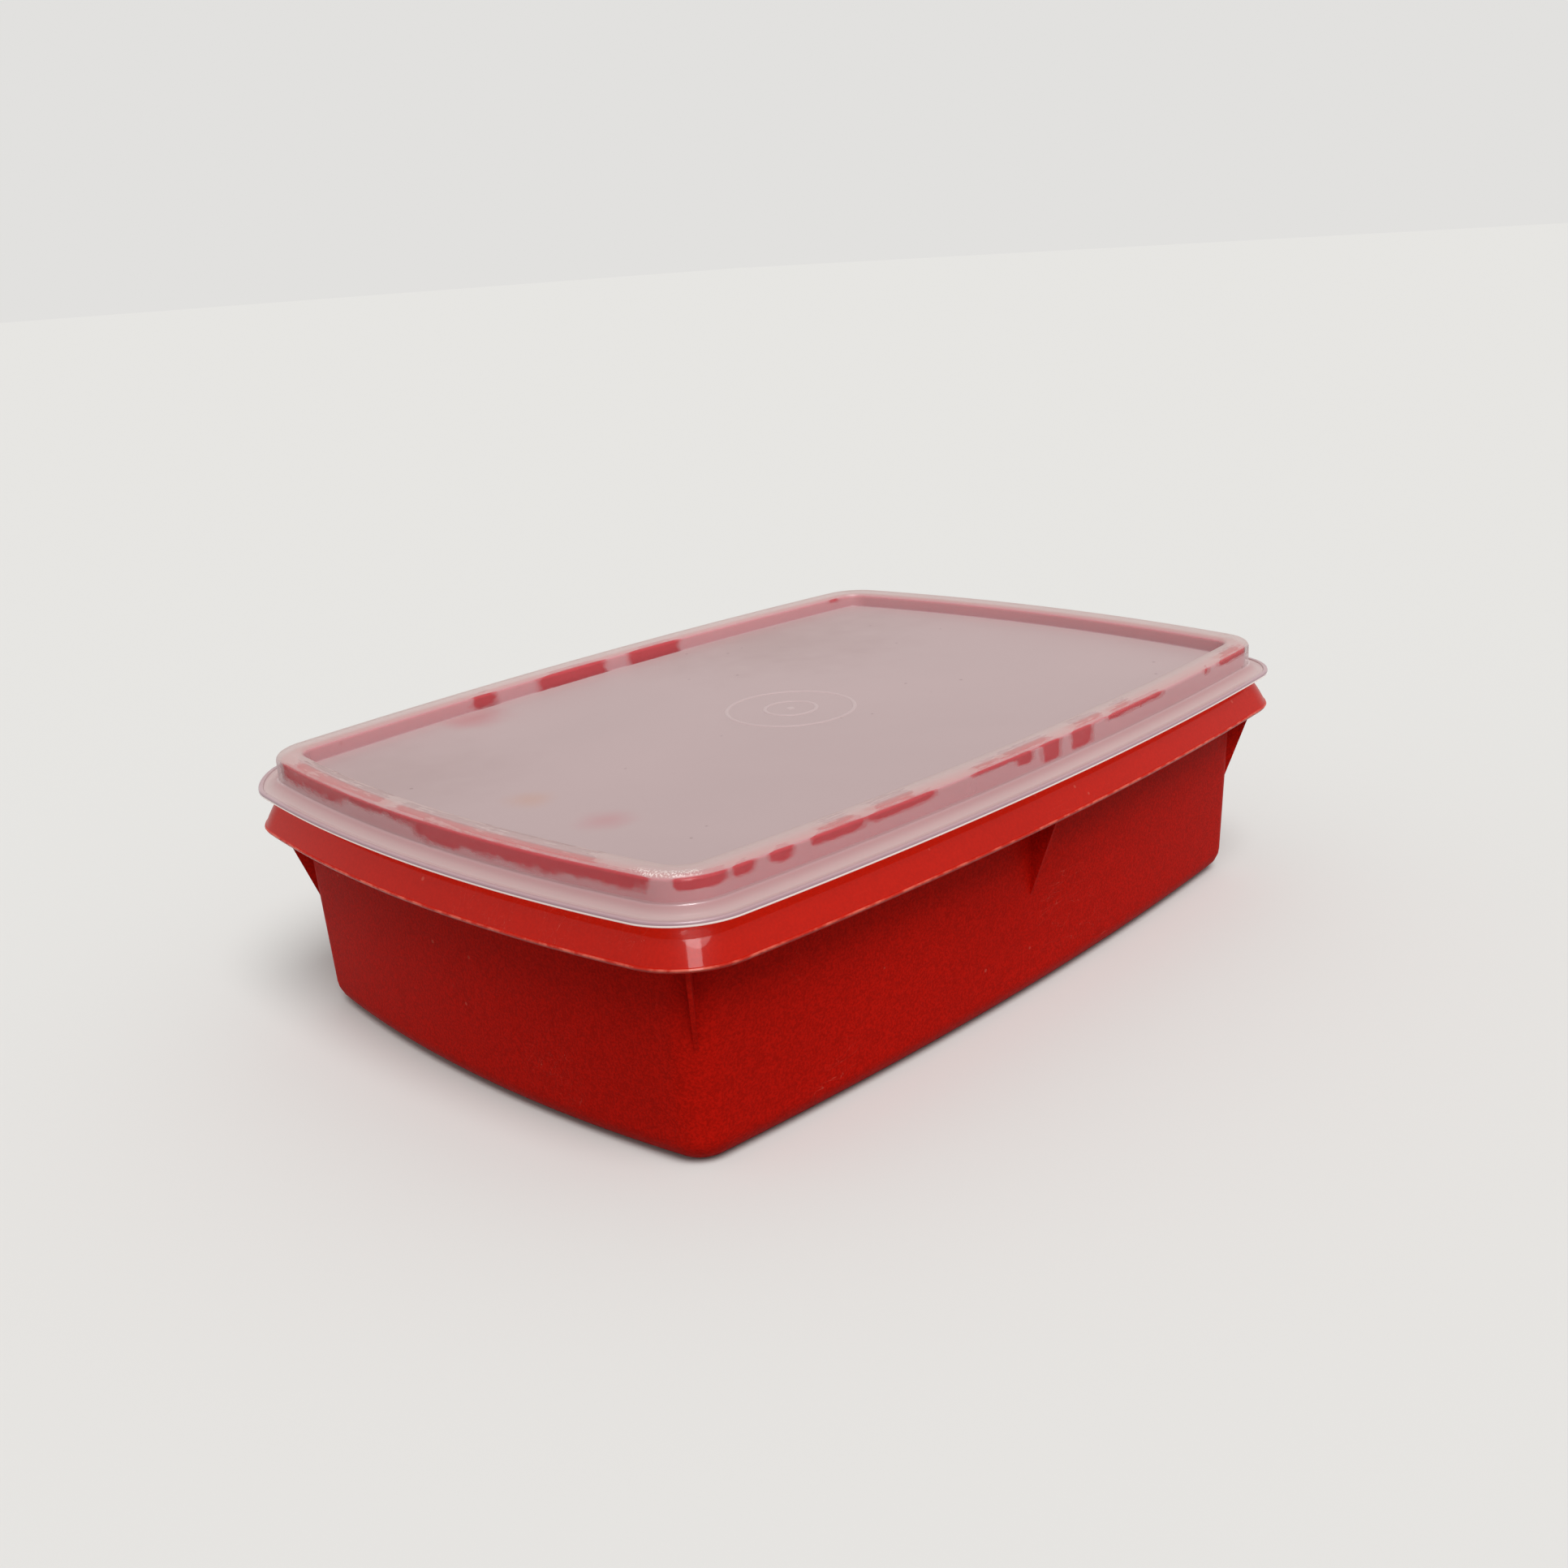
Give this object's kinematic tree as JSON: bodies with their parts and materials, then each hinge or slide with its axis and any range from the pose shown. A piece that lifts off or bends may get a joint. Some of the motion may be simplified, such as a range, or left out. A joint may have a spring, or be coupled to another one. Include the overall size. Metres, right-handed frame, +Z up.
{
  "type": "lunch box",
  "caption": "Rectangular food box with bowed sides: a deep tub with a drip skirt and ribs round its rim, closed by a thin press-on lid with a hollow sealing ridge.",
  "frame": {"origin": "middle of the box, on the surface that it stands on", "axes": "+X along the length, +Y across the width, +Z up, out of the lid"},
  "size_m": [0.268, 0.19, 0.0739],
  "materials": {
    "tub_polyethylene": "satin red polyethylene with a fine moulded grain on the walls and a smooth skirt",
    "lid_polyethylene": "milky translucent polyethylene, slightly scuffed"
  },
  "bodies": {
    "tub": {"tub": "tub_polyethylene"},
    "lid": {"lid": "lid_polyethylene"}
  },
  "joints": [
    {"name": "lid_lift", "type": "slide", "parent": "tub", "child": "lid", "axis": [0, 0, 1], "range_m": [0, 0.08]}
  ]
}
